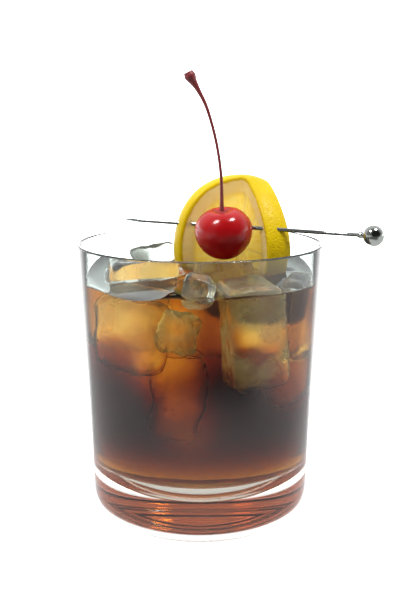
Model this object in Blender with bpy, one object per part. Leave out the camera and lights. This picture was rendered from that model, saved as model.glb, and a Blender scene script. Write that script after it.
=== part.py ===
"""Iced coffee liqueur cocktail in an old-fashioned tumbler, with a cherry and a lemon slice on a steel pick.

The glass stands on the origin with its foot on z = 0. +X is the side of the pick's ball and -Y is the side
that the cherry and the inside of the lemon's fold look out of.
"""
import math

import bmesh
import bpy
import numpy as np
from mathutils import Euler, Matrix, Vector

MM = 0.001
CLEARANCE = 0.3 * MM

# Tumbler
RIM_RADIUS = 43.0 * MM
TUMBLER_HEIGHT = 99.6 * MM
RIM_WALL = 1.3 * MM
BASE_WALL = 2.0 * MM
FOOT_RADIUS = 26.0 * MM
OUTER_CORNER = 12.2 * MM
SIDE_FLARE = math.radians(3.4)
FLOOR_HEIGHT = 11.0 * MM
BOWL_RADIUS = 56.0 * MM
INNER_CORNER = 10.0 * MM
TUMBLER_SEGMENTS = 64

# Drink
DRINK_LEVEL = 86.6 * MM
DRINK_SEGMENTS = 56

# Ice: centre, size, turn in degrees, melted edge radius and seed of the uneven corners
ICE = {
    "ice_left": dict(centre=(-21.6, 0.4, 77.6), size=(23.0, 19.5, 27.4), turn=(4, 2, 12), edge=2.6, seed=3),
    "ice_shard": dict(centre=(-14.6, 17.0, 79.7), size=(16.0, 6.0, 31.5), turn=(-5, -9, 14), edge=1.8, seed=4),
    "ice_right": dict(centre=(16.7, -22.0, 71.6), size=(18.8, 17.0, 34.5), turn=(4, -5, 22), edge=3.6, seed=8),
    "ice_middle": dict(centre=(7.2, -3.8, 77.2), size=(19.5, 12.5, 29.6), turn=(3, 2, 22), edge=2.8, seed=5),
    "ice_far_right": dict(centre=(32.1, -13.0, 75.2), size=(7.0, 13.0, 27.0), turn=(6, 6, -24), edge=1.6, seed=2),
    "ice_nub": dict(centre=(-0.5, -33.0, 88.1), size=(10.4, 8.4, 10.6), turn=(10, 8, 4), edge=3.4, seed=6),
}
CORNER_WANDER = 0.9 * MM
CUTTER_GROWTH = 0.35 * MM

# Lemon slice, folded round the cherry
SLICE_RADIUS = 26.1 * MM
SLICE_SQUEEZE = 0.965
LEFT_WING_THICKNESS = 6.0 * MM
RIGHT_WING_THICKNESS = 9.0 * MM
SLICE_CENTRE_HEIGHT = 95.2 * MM
FOLD_START = Vector((12.0, 16.2, 0)) * MM
FOLD_RADIUS = 7.0 * MM
LEFT_WING_HEADING = math.radians(22.0)
RIGHT_WING_HEADING = math.radians(-67.5)
LEFT_WING_LENGTH = 22.0 * MM
RIND_BULGE = 0.7 * MM
SLICE_OUTLINE = (0.995, 0.935, 0.995, 1.035, 1.0, 0.97, 1.0, 0.97)
PITH_WIDTH = 5.2 * MM
FLESH_DEPTH = 0.45 * MM
MEMBRANE_COUNT = 9
SLICE_SECTORS = 54

# Cherry, its stem and the pick
CHERRY_CENTRE = Vector((8.3, 0.0, 102.8)) * MM
CHERRY_RADIUS = 10.1 * MM
CHERRY_HALF_HEIGHT = 9.3 * MM
SHOULDER_SHARE = 0.07
CHERRY_TILT = Euler((math.radians(12), math.radians(-5), 0))
DIMPLE_DEPTH = 2.2 * MM
DIMPLE_WIDTH = math.radians(17)
STEM_HEIGHTS = (110.7, 112.6, 116.2, 122.5, 130.5, 138.5, 146.5, 151.5, 154.4, 156.4, 158.0)
STEM_REACH = (7.6, 7.55, 7.5, 7.3, 6.3, 4.6, 2.1, -0.4, -2.1, -3.3, -4.1)
STEM_DEPTH = (-1.7, -1.7, -1.5, -1.1, -0.5, -0.3, -0.2, -0.1, 0.0, 0.0, 0.0)
STEM_RADII = (0.85, 0.72, 0.6, 0.55, 0.53, 0.55, 0.62, 0.8, 1.3, 2.0, 1.6)
PICK_TIP = Vector((-27.5, 14.7, 105.8)) * MM
BALL_CENTRE = Vector((58.9, -11.2, 103.3)) * MM
BALL_RADIUS = 3.7 * MM
PIN_RADIUS = 0.7 * MM
PIN_POINT_LENGTH = 6.0 * MM
COLLAR_RADIUS = 1.15 * MM
COLLAR_LENGTH = 1.4 * MM


def clear_scene():
    for item in list(bpy.data.objects):
        bpy.data.objects.remove(item, do_unlink=True)


def material(name, colour, roughness, metallic=0.0, transmission=0.0):
    """A Principled material; the colour is linear RGB."""
    made = bpy.data.materials.new(name)
    made.use_nodes = True
    shader = made.node_tree.nodes["Principled BSDF"]
    shader.inputs["Base Color"].default_value = (*colour, 1.0)
    shader.inputs["Roughness"].default_value = roughness
    shader.inputs["Metallic"].default_value = metallic
    shader.inputs["Transmission Weight"].default_value = transmission
    return made


def object_from(name, verts, faces, mat=None, smooth_angle=35.0):
    """A closed mesh object with its faces turned outward."""
    mesh = bpy.data.meshes.new(name)
    mesh.from_pydata([tuple(v) for v in verts], [], faces)
    work = bmesh.new()
    work.from_mesh(mesh)
    bmesh.ops.recalc_face_normals(work, faces=work.faces)
    work.to_mesh(mesh)
    work.free()
    mesh.shade_smooth()
    mesh.set_sharp_from_angle(angle=math.radians(smooth_angle))
    if mat:
        mesh.materials.append(mat)
    made = bpy.data.objects.new(name, mesh)
    bpy.context.collection.objects.link(made)
    return made


def lathe(name, profile, segments, mat=None):
    """Turn (radius, height) points about Z; the first and last points lie on the axis."""
    verts = [(0, 0, profile[0][1])]
    for radius, height in profile[1:-1]:
        for step in range(segments):
            angle = 2 * math.pi * step / segments
            verts.append((radius * math.cos(angle), radius * math.sin(angle), height))
    verts.append((0, 0, profile[-1][1]))
    last = len(verts) - 1
    rings = len(profile) - 2
    faces = []
    for step in range(segments):
        following = (step + 1) % segments
        faces.append((0, 1 + following, 1 + step))
        for ring in range(rings - 1):
            low = 1 + ring * segments
            high = low + segments
            faces.append((low + step, low + following, high + following, high + step))
        top = 1 + (rings - 1) * segments
        faces.append((top + step, top + following, last))
    return object_from(name, verts, faces, mat)


def arc(centre, radius, start, end, steps):
    """Points on an arc in the (radius, height) plane, angles in degrees."""
    points = []
    for step in range(steps + 1):
        angle = math.radians(start + (end - start) * step / steps)
        points.append((centre[0] + radius * math.cos(angle), centre[1] + radius * math.sin(angle)))
    return points


def outer_radius(height):
    """Radius of the tumbler's straight side, which flares up to the rim."""
    return RIM_RADIUS - (TUMBLER_HEIGHT - height) * math.tan(SIDE_FLARE)


def inner_radius(height):
    """Radius inside the wall, which thickens from the rim down to the floor."""
    share = (TUMBLER_HEIGHT - height) / (TUMBLER_HEIGHT - FLOOR_HEIGHT)
    return outer_radius(height) - RIM_WALL - (BASE_WALL - RIM_WALL) * share


def corner_centre():
    """The (radius, height) centre of the corner between the bowl-shaped floor and the wall."""
    height = FLOOR_HEIGHT + INNER_CORNER
    for _ in range(12):
        reach = inner_radius(height) - INNER_CORNER
        height = FLOOR_HEIGHT + BOWL_RADIUS - math.sqrt((BOWL_RADIUS - INNER_CORNER) ** 2 - reach ** 2)
    return reach, height


def cavity_profile(inset, top):
    """The inside of the glass from the floor's middle up to a height, drawn in by an inset."""
    reach, corner_height = corner_centre()
    bowl_centre = FLOOR_HEIGHT + BOWL_RADIUS
    join = math.degrees(math.atan2(corner_height - bowl_centre, reach))
    points = arc((0.0, bowl_centre), BOWL_RADIUS - inset, -90, join, 7)
    points[0] = (0.0, FLOOR_HEIGHT + inset)
    points += arc((reach, corner_height), INNER_CORNER - inset, join, 0, 3)[1:]
    points.append((inner_radius(top) - inset, top))
    return points


def make_tumbler(mat):
    flare = math.degrees(SIDE_FLARE)
    rim = RIM_WALL / 2
    rim_centre = (RIM_RADIUS - rim, TUMBLER_HEIGHT - rim)
    profile = [(0.0, 0.0)]
    profile += arc((FOOT_RADIUS, OUTER_CORNER), OUTER_CORNER, -90, -flare, 9)
    profile += arc(rim_centre, rim, 0, 180, 5)
    profile += list(reversed(cavity_profile(0.0, TUMBLER_HEIGHT - 2 * RIM_WALL)))
    return lathe("tumbler", profile, TUMBLER_SEGMENTS, mat)


def ice_block(name, centre, size, turn, edge, seed, growth=0.0, mat=None):
    """An uneven cube with melted edges; growth moves its faces out, for cutting its place in the drink."""
    wander = np.random.default_rng(seed).uniform(-1, 1, (8, 3)) * CORNER_WANDER
    turned = Euler([math.radians(angle) for angle in turn]).to_matrix()
    middle = Vector(centre) * MM
    verts = []
    for index in range(8):
        signs = [1 if index & bit else -1 for bit in (1, 2, 4)]
        corner = [sign * (length * MM / 2 + growth) for sign, length in zip(signs, size)]
        verts.append(middle + turned @ (Vector(corner) + Vector(wander[index])))
    faces = [(0, 2, 3, 1), (4, 5, 7, 6), (0, 1, 5, 4), (2, 6, 7, 3), (0, 4, 6, 2), (1, 3, 7, 5)]
    made = object_from(name, verts, faces, mat, smooth_angle=30)
    rounding = made.modifiers.new("melted edges", 'BEVEL')
    rounding.width = edge * MM
    rounding.segments = 3
    rounding.limit_method = 'NONE'
    return made


def fold_point(along):
    """Plan position and sideways direction of the folded slice's middle surface, from its vertical centre line.

    along runs from the left wing's end (negative) to the right wing's end (positive); sideways points to the
    side that the fold encloses.
    """
    turn = LEFT_WING_HEADING - RIGHT_WING_HEADING
    bend = FOLD_RADIUS * turn
    half = SLICE_RADIUS * SLICE_SQUEEZE
    start = LEFT_WING_LENGTH - half
    travel = along - start
    angle = LEFT_WING_HEADING - min(max(travel / FOLD_RADIUS, 0.0), turn)
    inward = Vector((math.sin(LEFT_WING_HEADING), -math.cos(LEFT_WING_HEADING), 0))
    pivot = FOLD_START + inward * FOLD_RADIUS
    sideways = Vector((math.sin(angle), -math.cos(angle), 0))
    heading = Vector((math.cos(angle), math.sin(angle), 0))
    straight = min(travel, 0.0) + max(travel - bend, 0.0)
    return pivot - sideways * FOLD_RADIUS + heading * straight, sideways


def slice_radius(angle):
    """The slice's radius, which varies a little at each eighth of a turn from its right end."""
    place = angle % (2 * math.pi) / (2 * math.pi) * len(SLICE_OUTLINE)
    before = int(place) % len(SLICE_OUTLINE)
    blend = (1 - math.cos(math.pi * (place % 1))) / 2
    here, following = SLICE_OUTLINE[before], SLICE_OUTLINE[(before + 1) % len(SLICE_OUTLINE)]
    return SLICE_RADIUS * (here + (following - here) * blend)


def slice_thickness(along):
    """The slice's thickness, which grows evenly from its left end to its right end."""
    share = 0.5 + along / (2 * SLICE_RADIUS)
    return LEFT_WING_THICKNESS + (RIGHT_WING_THICKNESS - LEFT_WING_THICKNESS) * share


def slice_relief(share, angle):
    """How far a face of the slice lies below its pith, at a share of its radius and an angle."""
    flesh = 1.0 - PITH_WIDTH / SLICE_RADIUS
    if share >= flesh or share < 0.1:
        return 0.0
    across = abs((angle * MEMBRANE_COUNT / (2 * math.pi)) % 1.0 - 0.5)
    return FLESH_DEPTH * (1.0 if across < 0.36 else 0.25)


def lemon_slice(name, growth=0.0, mat=None):
    """The slice as two dished faces and a bulged rind, bent round the fold."""
    flesh = 1.0 - PITH_WIDTH / SLICE_RADIUS
    shares = [0.09, 0.28, 0.5, flesh - 0.04, flesh, 0.985]
    verts = []

    def place(share, angle, depth):
        bulge = RIND_BULGE * (1 - depth * depth)
        reach = (slice_radius(angle) + growth) * share + bulge
        across = reach * math.cos(angle) * SLICE_SQUEEZE
        up = reach * math.sin(angle)
        sink = 0.0 if growth else slice_relief(share, angle)
        half = slice_thickness(across) / 2 + growth - sink
        middle, sideways = fold_point(across)
        return middle + sideways * half * depth + Vector((0, 0, SLICE_CENTRE_HEIGHT + up))

    angles = [2 * math.pi * (step + 0.5) / SLICE_SECTORS for step in range(SLICE_SECTORS)]
    rings = [(share, 1.0) for share in shares]
    rings += [(1.0, depth) for depth in (0.8, 0.3, -0.3, -0.8)]
    rings += [(share, -1.0) for share in reversed(shares)]
    verts.append(place(0.0, 0.0, 1.0))
    for share, depth in rings:
        verts += [place(share, angle, depth) for angle in angles]
    verts.append(place(0.0, 0.0, -1.0))
    last = len(verts) - 1
    faces = []
    for step in range(SLICE_SECTORS):
        following = (step + 1) % SLICE_SECTORS
        faces.append((0, 1 + step, 1 + following))
        for ring in range(len(rings) - 1):
            low = 1 + ring * SLICE_SECTORS
            high = low + SLICE_SECTORS
            faces.append((low + step, high + step, high + following, low + following))
        top = 1 + (len(rings) - 1) * SLICE_SECTORS
        faces.append((top + step, last, top + following))
    return object_from(name, verts, faces, mat, smooth_angle=50)


def cherry_body(name, growth=0.0, segments=36, mat=None):
    """A slightly flat ball, wider at its shoulders, with a dimple where its stem grows."""
    rings = segments // 2
    profile = []
    for step in range(rings + 1):
        angle = math.pi * step / rings
        dimple = 0.0 if growth else DIMPLE_DEPTH * math.exp(-(angle / DIMPLE_WIDTH) ** 2)
        width = (CHERRY_RADIUS + growth - dimple) * (1 + SHOULDER_SHARE * math.cos(angle))
        height = CHERRY_HALF_HEIGHT + growth - dimple
        profile.append((width * math.sin(angle), height * math.cos(angle)))
    made = lathe(name, profile, segments, mat)
    made.data.transform(Matrix.Translation(CHERRY_CENTRE) @ CHERRY_TILT.to_matrix().to_4x4())
    return made


def tube(name, points, radii, sides, mat=None):
    """A closed tube of changing radius along a line of points."""
    verts = [points[0]]
    for index, point in enumerate(points):
        before = points[max(index - 1, 0)]
        after = points[min(index + 1, len(points) - 1)]
        across = Vector((0, 1, 0)).cross(after - before).normalized()
        behind = (after - before).normalized().cross(across)
        for side in range(sides):
            angle = 2 * math.pi * side / sides
            verts.append(point + (across * math.cos(angle) + behind * math.sin(angle)) * radii[index])
    verts.append(points[-1])
    last = len(verts) - 1
    faces = []
    for side in range(sides):
        following = (side + 1) % sides
        faces.append((0, 1 + following, 1 + side))
        for ring in range(len(points) - 1):
            low = 1 + ring * sides
            high = low + sides
            faces.append((low + side, low + following, high + following, high + side))
        top = 1 + (len(points) - 1) * sides
        faces.append((top + side, top + following, last))
    return object_from(name, verts, faces, mat, smooth_angle=60)


def make_stem(mat):
    """The stem rises from the dimple, leans over to the left and ends in a knob."""
    count = 27
    places = np.linspace(0, 1, count)
    keys = np.linspace(0, 1, len(STEM_HEIGHTS))
    rows = [np.interp(places, keys, values) for values in (STEM_REACH, STEM_DEPTH, STEM_HEIGHTS, STEM_RADII)]
    points = [Vector(row) * MM for row in zip(*rows[:3])]
    radii = [radius * MM for radius in rows[3]]
    return tube("cherry_stem", points, radii, 10, mat)


def pick_frame():
    """A matrix whose Z runs from the pick's tip to its ball."""
    along = BALL_CENTRE - PICK_TIP
    return Matrix.Translation(PICK_TIP) @ along.to_track_quat('Z', 'Y').to_matrix().to_4x4()


def make_pick(mat):
    length = (BALL_CENTRE - PICK_TIP).length
    ball_start = math.degrees(math.asin(COLLAR_RADIUS / BALL_RADIUS))
    collar_end = length - BALL_RADIUS * math.cos(math.radians(ball_start))
    collar_foot = collar_end - COLLAR_LENGTH
    profile = [(0.0, 0.0), (0.12 * MM, 0.1 * MM), (PIN_RADIUS * 0.7, PIN_POINT_LENGTH * 0.5)]
    profile += [(PIN_RADIUS * 0.93, PIN_POINT_LENGTH), (PIN_RADIUS, PIN_POINT_LENGTH * 2)]
    profile += [(PIN_RADIUS, collar_foot - 0.4 * MM), (COLLAR_RADIUS, collar_foot)]
    profile += arc((0.0, length), BALL_RADIUS, -90 + ball_start, 90, 13)
    made = lathe("pick", profile, 20, mat)
    made.data.transform(pick_frame())
    return made


def pick_clearance(name):
    """A plain rod that clears the pick's pin, for the holes in the fruit."""
    length = (BALL_CENTRE - PICK_TIP).length
    radius = PIN_RADIUS + CLEARANCE
    profile = [(0.0, -2 * MM), (radius, -2 * MM), (radius, length), (0.0, length)]
    made = lathe(name, profile, 12)
    made.data.transform(pick_frame())
    return made


def as_cutter(made):
    made.hide_render = True
    made.display_type = 'WIRE'
    return made


def cut(target, cutters):
    for cutter in cutters:
        difference = target.modifiers.new("clear of " + cutter.name, 'BOOLEAN')
        difference.operation = 'DIFFERENCE'
        difference.solver = 'EXACT'
        difference.object = cutter


def main():
    clear_scene()
    glass = material("clear glass", (0.95, 0.97, 0.96), 0.02, transmission=1.0)
    liqueur = material("coffee liqueur", (0.16, 0.05, 0.02), 0.05)
    frozen = material("clear ice", (0.85, 0.85, 0.78), 0.08, transmission=0.9)
    citrus = material("lemon", (0.82, 0.6, 0.05), 0.45)
    fruit = material("maraschino cherry", (0.35, 0.01, 0.012), 0.12)
    stalk = material("cherry stem", (0.16, 0.03, 0.02), 0.5)
    steel = material("polished stainless steel", (0.6, 0.6, 0.6), 0.08, metallic=1.0)

    make_tumbler(glass)
    ice_cutters = []
    for name, values in ICE.items():
        ice_block(name, mat=frozen, **values)
        ice_cutters.append(as_cutter(ice_block(name + "_place", growth=CUTTER_GROWTH, **values)))
    pin_hole = as_cutter(pick_clearance("pin_hole"))
    cherry_place = as_cutter(cherry_body("cherry_place", growth=CLEARANCE))
    slice_place = as_cutter(lemon_slice("slice_place", growth=CLEARANCE))

    drink = lathe("drink", cavity_profile(CLEARANCE, DRINK_LEVEL) + [(0.0, DRINK_LEVEL)], DRINK_SEGMENTS, liqueur)
    cut(drink, ice_cutters + [slice_place])
    wedge = lemon_slice("lemon_slice", mat=citrus)
    cut(wedge, [pin_hole, cherry_place])
    cherry = cherry_body("cherry", mat=fruit)
    cut(cherry, [pin_hole])
    make_stem(stalk)
    make_pick(steel)


main()
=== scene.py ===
# %% [markdown]
# # An iced coffee liqueur drink in a tumbler
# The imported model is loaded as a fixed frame. Every piece below is made in metres in that frame: +Z is up,
# the glass stands on z = 0, and its front looks along -Y to the camera. Sizes are written in millimetres
# and multiplied by MM, so that they read as on a drawing.

# %% Load the frame
import math

import bmesh
import bpy
import numpy as np
from mathutils import Euler, Matrix, Vector, noise


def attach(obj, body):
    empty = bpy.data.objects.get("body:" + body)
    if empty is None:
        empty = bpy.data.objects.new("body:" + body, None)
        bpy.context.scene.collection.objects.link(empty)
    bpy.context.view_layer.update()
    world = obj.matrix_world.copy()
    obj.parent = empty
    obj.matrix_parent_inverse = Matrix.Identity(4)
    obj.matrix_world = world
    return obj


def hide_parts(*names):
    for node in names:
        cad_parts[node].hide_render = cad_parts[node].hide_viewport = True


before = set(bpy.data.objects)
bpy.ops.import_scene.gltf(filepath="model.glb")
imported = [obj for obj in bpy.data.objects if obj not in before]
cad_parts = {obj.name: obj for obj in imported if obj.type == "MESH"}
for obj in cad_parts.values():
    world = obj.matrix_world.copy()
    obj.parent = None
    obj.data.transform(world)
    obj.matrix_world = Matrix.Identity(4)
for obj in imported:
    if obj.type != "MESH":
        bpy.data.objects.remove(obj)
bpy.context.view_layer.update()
MM = 0.001
print("CAD nodes:", sorted(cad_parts))

# %% [markdown]
# ## Colour and node helpers
# Colours are picked as sRGB hex values, as a paint program shows them. Blender's shaders work in linear
# light, so one function turns them round. Another adds a node: a value that is a socket is linked, any
# other is set. A pattern's scale counts its cells in each metre, so a third one works it out from a cell's
# real size.

# %% Colour and node helpers
def linear(hex_colour):
    """Linear RGBA from an sRGB hex value such as "#F6DD22"."""
    parts = [int(hex_colour[start:start + 2], 16) / 255 for start in (1, 3, 5)]
    return (*[part / 12.92 if part <= 0.04045 else ((part + 0.055) / 1.055) ** 2.4 for part in parts], 1.0)


def cells_of(millimetres):
    """The scale of a noise or Voronoi texture whose cells are this long."""
    return 1 / (millimetres * MM)


def add(tree, kind, settings=None, inputs=None):
    """Add one node with its settings; inputs are linked from sockets or set from plain values."""
    made = tree.nodes.new("ShaderNode" + kind)
    for name, value in (settings or {}).items():
        setattr(made, name, value)
    for name, value in (inputs or {}).items():
        if isinstance(value, bpy.types.NodeSocket):
            tree.links.new(value, made.inputs[name])
        else:
            made.inputs[name].default_value = value
    return made


def new_material(name):
    """An empty node material and its tree."""
    made = bpy.data.materials.new(name)
    made.use_nodes = True
    made.node_tree.nodes.clear()
    return made, made.node_tree


def finish_material(tree, surface, volume=None):
    """Connect the surface shader, and a volume shader if there is one, to the output."""
    links = {"Surface": surface.outputs[0]}
    if volume:
        links["Volume"] = volume.outputs[0]
    add(tree, "OutputMaterial", inputs=links)


print("mid grey is", linear("#808080")[0], "in linear light")

# %% [markdown]
# ## Mesh helpers
# Glass, drink, cherry and pick are all turned shapes. A lathe function takes a list of (radius, height)
# points, and an arc function gives the round stretches, so each outline holds only the sizes that a
# glassmaker would name. Blender's Screw modifier would turn an outline too, but the function can also say
# which band of faces gets which material.

# %% Mesh helpers
def arc(centre, radius, start, end, steps):
    """Points on an arc in the (radius, height) plane, angles in degrees."""
    turns = [math.radians(start + (end - start) * step / steps) for step in range(steps + 1)]
    return [(centre[0] + radius * math.cos(turn), centre[1] + radius * math.sin(turn)) for turn in turns]


def mesh_object(name, verts, faces):
    """A closed smooth mesh object with its faces turned outward."""
    mesh = bpy.data.meshes.new(name)
    mesh.from_pydata([tuple(vert) for vert in verts], [], faces)
    work = bmesh.new()
    work.from_mesh(mesh)
    bmesh.ops.recalc_face_normals(work, faces=work.faces)
    work.to_mesh(mesh)
    work.free()
    mesh.shade_smooth()
    made = bpy.data.objects.new(name, mesh)
    bpy.context.collection.objects.link(made)
    return made


def lathe(name, profile, segments, slots=None):
    """Turn points about Z. The first and last lie on the axis; slots gives each band's material slot."""
    verts = [(0, 0, profile[0][1])]
    for radius, height in profile[1:-1]:
        turns = [2 * math.pi * step / segments for step in range(segments)]
        verts += [(radius * math.cos(turn), radius * math.sin(turn), height) for turn in turns]
    verts.append((0, 0, profile[-1][1]))
    faces = []
    bands = []
    last_ring = 1 + (len(profile) - 3) * segments
    for step in range(segments):
        after = (step + 1) % segments
        faces.append((0, 1 + after, 1 + step))
        bands.append(0)
        for ring in range(len(profile) - 3):
            low = 1 + ring * segments
            high = low + segments
            faces.append((low + step, low + after, high + after, high + step))
            bands.append(ring + 1)
        faces.append((last_ring + step, last_ring + after, len(verts) - 1))
        bands.append(len(profile) - 2)
    made = mesh_object(name, verts, faces)
    if slots:
        for face, band in zip(made.data.polygons, bands):
            face.material_index = slots[band]
    return made


print("a quarter turn in 8 steps has", len(arc((0, 0), 1, 0, 90, 8)), "points")

# %% [markdown]
# ## Fitting a piece to the part
# Each finished piece moves with the part's one rigid body. A piece that stands for a node of the packed model
# takes that node's place.

# %% Fit a piece
def finish_piece(piece, replaced=(), materials=()):
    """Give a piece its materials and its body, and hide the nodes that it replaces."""
    for finish in materials:
        piece.data.materials.append(finish)
    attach(piece, "root")
    if replaced:
        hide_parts(*replaced)
    print(piece.name, len(piece.data.polygons), "faces")


# %% [markdown]
# ## Camera
# A perspective fit of the rim, side and base gives a camera 380 mm in front of the glass, 56 mm over its
# rim, looking down 11.4 degrees through a lens of about 66 mm. From there the rim is a flat ellipse, and
# the drink's surface shows as a narrow band.

# %% Camera
CAMERA_PLACE = (0.0, -0.380, 0.1557)
CAMERA_PITCH = math.radians(11.43)
camera_data = bpy.data.cameras.new("camera")
camera_data.lens = 65.7
camera_data.sensor_width = 36.0
camera = bpy.data.objects.new("camera", camera_data)
camera.location = CAMERA_PLACE
camera.rotation_euler = (math.radians(90) - CAMERA_PITCH, 0, 0)
bpy.context.collection.objects.link(camera)
bpy.context.scene.camera = camera
print("camera", CAMERA_PLACE, "lens", camera_data.lens)

# %% [markdown]
# ## Tumbler
# A pressed old-fashioned glass has a thin, fire-polished rim, a straight side that flares a little and a
# thick clear base. The floor inside is a shallow bowl that joins the wall by a round corner, and the foot
# turns up into the side by a bigger one. These two rounds bend the light into the bright lines of the base.

# %% Tumbler sizes
RIM_RADIUS = 43.0 * MM
TUMBLER_HEIGHT = 99.6 * MM
RIM_WALL = 1.3 * MM
BASE_WALL = 2.0 * MM
FOOT_RADIUS = 26.0 * MM
OUTER_CORNER = 12.2 * MM
SIDE_FLARE = math.radians(3.4)
FLOOR_HEIGHT = 11.0 * MM
BOWL_RADIUS = 56.0 * MM
INNER_CORNER = 10.0 * MM


def inner_radius(height):
    """Radius inside the wall, which flares upward and thickens from the rim down to the floor."""
    outer = RIM_RADIUS - (TUMBLER_HEIGHT - height) * math.tan(SIDE_FLARE)
    share = (TUMBLER_HEIGHT - height) / (TUMBLER_HEIGHT - FLOOR_HEIGHT)
    return outer - RIM_WALL - (BASE_WALL - RIM_WALL) * share


print("the rim is", 2 * inner_radius(TUMBLER_HEIGHT) / MM, "mm wide inside")

# %% [markdown]
# ### Inside of the glass
# The corner has to touch both the bowl and the sloping wall. Its height depends on its radius and the other
# way round, so a short loop works out one from the other until they settle. The drink uses the same
# outline.

# %% Inside of the glass
BOWL_STEPS = 60
CORNER_STEPS = 24
WALL_RINGS = 9
SETTLING_ROUNDS = 12


def corner_centre():
    """The (radius, height) centre of the corner between the bowl-shaped floor and the wall."""
    height = FLOOR_HEIGHT + INNER_CORNER
    for _ in range(SETTLING_ROUNDS):
        reach = inner_radius(height) - INNER_CORNER
        height = FLOOR_HEIGHT + BOWL_RADIUS - math.sqrt((BOWL_RADIUS - INNER_CORNER) ** 2 - reach ** 2)
    return reach, height


def cavity_profile(inset, top):
    """The inside of the glass from the floor's middle up to a height, drawn in by an inset."""
    reach, corner_height = corner_centre()
    bowl_centre = FLOOR_HEIGHT + BOWL_RADIUS
    join = math.degrees(math.atan2(corner_height - bowl_centre, reach))
    points = arc((0.0, bowl_centre), BOWL_RADIUS - inset, -90, join, BOWL_STEPS)
    points += arc((reach, corner_height), INNER_CORNER - inset, join, 0, CORNER_STEPS)[1:]
    heights = np.linspace(corner_height, top, WALL_RINGS)[1:]
    return points + [(inner_radius(height) - inset, height) for height in heights]


print("the inner corner starts", corner_centre()[0] / MM, "mm from the axis")

# %% [markdown]
# ### Where the drink wets the wall
# The drink creeps up the wall in a thin rise, its meniscus. Ice that leans on the glass pulls this edge up
# or leaves it low, so the edge waves round the glass. A few bell curves over the bearing draw these waves.

# %% Edge of the drink
DRINK_LEVEL = 86.3 * MM
MENISCUS_RISE = 1.1 * MM
MENISCUS_REACH = 1.4 * MM
# Bearing from the front in degrees, change of height, and width in degrees of each wave
EDGE_WAVES = ((-33.0, -1.7 * MM, 15.0), (-11.5, 2.6 * MM, 4.5), (0.0, -1.6 * MM, 6.0), (22.0, 0.6 * MM, 12.0))


def edge_wave(x, y):
    """How far the drink's edge stands over its even height at a bearing."""
    bearing = math.degrees(math.atan2(x, -y))
    return sum(rise * math.exp(-((bearing - middle) / width) ** 2) for middle, rise, width in EDGE_WAVES)


contact_height = DRINK_LEVEL + MENISCUS_RISE
edge_radius = inner_radius(contact_height)
print("the drink meets the wall at", contact_height / MM, "mm")

# %% [markdown]
# ### Turn the glass
# The outline runs from the foot up the outside, over the rim and down the inside. Every band inside that
# the drink wets goes to a second material slot, because light bends less there than where glass meets air.

# %% Tumbler shape
ROUND_SEGMENTS = 160
SAME_HEIGHT = 0.01 * MM

rim = RIM_WALL / 2
wetted = cavity_profile(0.0, contact_height)
glass_outline = [(0.0, 0.0), (FOOT_RADIUS * 0.5, 0.0)]
glass_outline += arc((FOOT_RADIUS, OUTER_CORNER), OUTER_CORNER, -90, -math.degrees(SIDE_FLARE), 60)
glass_outline += arc((RIM_RADIUS - rim, TUMBLER_HEIGHT - rim), rim, 0, 180, 12)
dry_bands = len(glass_outline)
glass_outline += list(reversed(wetted))
glass_bands = [0] * dry_bands + [1] * (len(glass_outline) - 1 - dry_bands)
tumbler = lathe("tumbler_glass", glass_outline, ROUND_SEGMENTS, glass_bands)
for vert in tumbler.data.vertices:
    reach = math.hypot(vert.co.x, vert.co.y)
    if abs(vert.co.z - contact_height) < SAME_HEIGHT and reach < edge_radius + 0.1 * MM:
        height = contact_height + edge_wave(vert.co.x, vert.co.y)
        vert.co *= inner_radius(height) / reach
        vert.co.z = height
print("the glass has", len(glass_outline), "points in its outline")

# %% [markdown]
# ### Soda-lime glass
# Table glass is soda-lime glass, pressed and fire-polished: an IOR of 1.52 and no roughness. The eye reads
# it from its bent dark and white edges and a faint green. Where it meets the drink, the light only crosses
# from 1.52 to 1.37, so those faces take the ratio of the two.

# %% Glass materials
GLASS_IOR = 1.52
DRINK_IOR = 1.37
ICE_IOR = 1.31


def clear_material(name, colour, ior):
    """A clear solid with a polished surface: all its look comes from how it bends and mirrors light."""
    made, tree = new_material(name)
    shader = add(tree, "BsdfPrincipled", inputs={
        "Base Color": linear(colour), "Roughness": 0.0, "IOR": ior, "Transmission Weight": 1.0})
    finish_material(tree, shader)
    return made


glass_in_air = clear_material("soda_lime_glass", "#F3FBF8", GLASS_IOR)
glass_in_drink = clear_material("soda_lime_glass_wetted", "#FFFFFF", GLASS_IOR / DRINK_IOR)
finish_piece(tumbler, ["tumbler"], [glass_in_air, glass_in_drink])

# %% [markdown]
# ## Ice
# Moulded ice cubes melt into uneven blocks with round edges and shallow dents. Six blocks break the surface
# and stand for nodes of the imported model. Five more are wholly under it, where they show as pale or amber
# shapes behind the glass. Every size here is in millimetres and every turn in degrees.

# %% Places of the ice
STANDING_ICE = {
    "ice_left": dict(centre=(-21.6, 0.4, 77.6), size=(23.0, 19.5, 27.4), turn=(4, 2, 12), edge=2.6, seed=3),
    "ice_shard": dict(
        centre=(-14.6, 17.0, 79.7), size=(16.0, 6.0, 31.5), turn=(-5, -9, 14), edge=1.8, seed=4, dent=1.5),
    "ice_right": dict(
        centre=(16.7, -22.0, 71.6), size=(18.8, 17.0, 34.5), turn=(4, -5, 22), edge=3.6, seed=8),
    "ice_middle": dict(centre=(7.2, -3.8, 77.2), size=(19.5, 12.5, 29.6), turn=(3, 2, 22), edge=2.8, seed=5),
    "ice_far_right": dict(
        centre=(32.1, -13.0, 75.2), size=(7.0, 13.0, 27.0), turn=(6, 6, -24), edge=1.6, seed=2),
    "ice_nub": dict(centre=(-0.5, -33.0, 88.1), size=(10.4, 8.4, 10.6), turn=(10, 8, 4), edge=3.4, seed=6),
}
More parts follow.
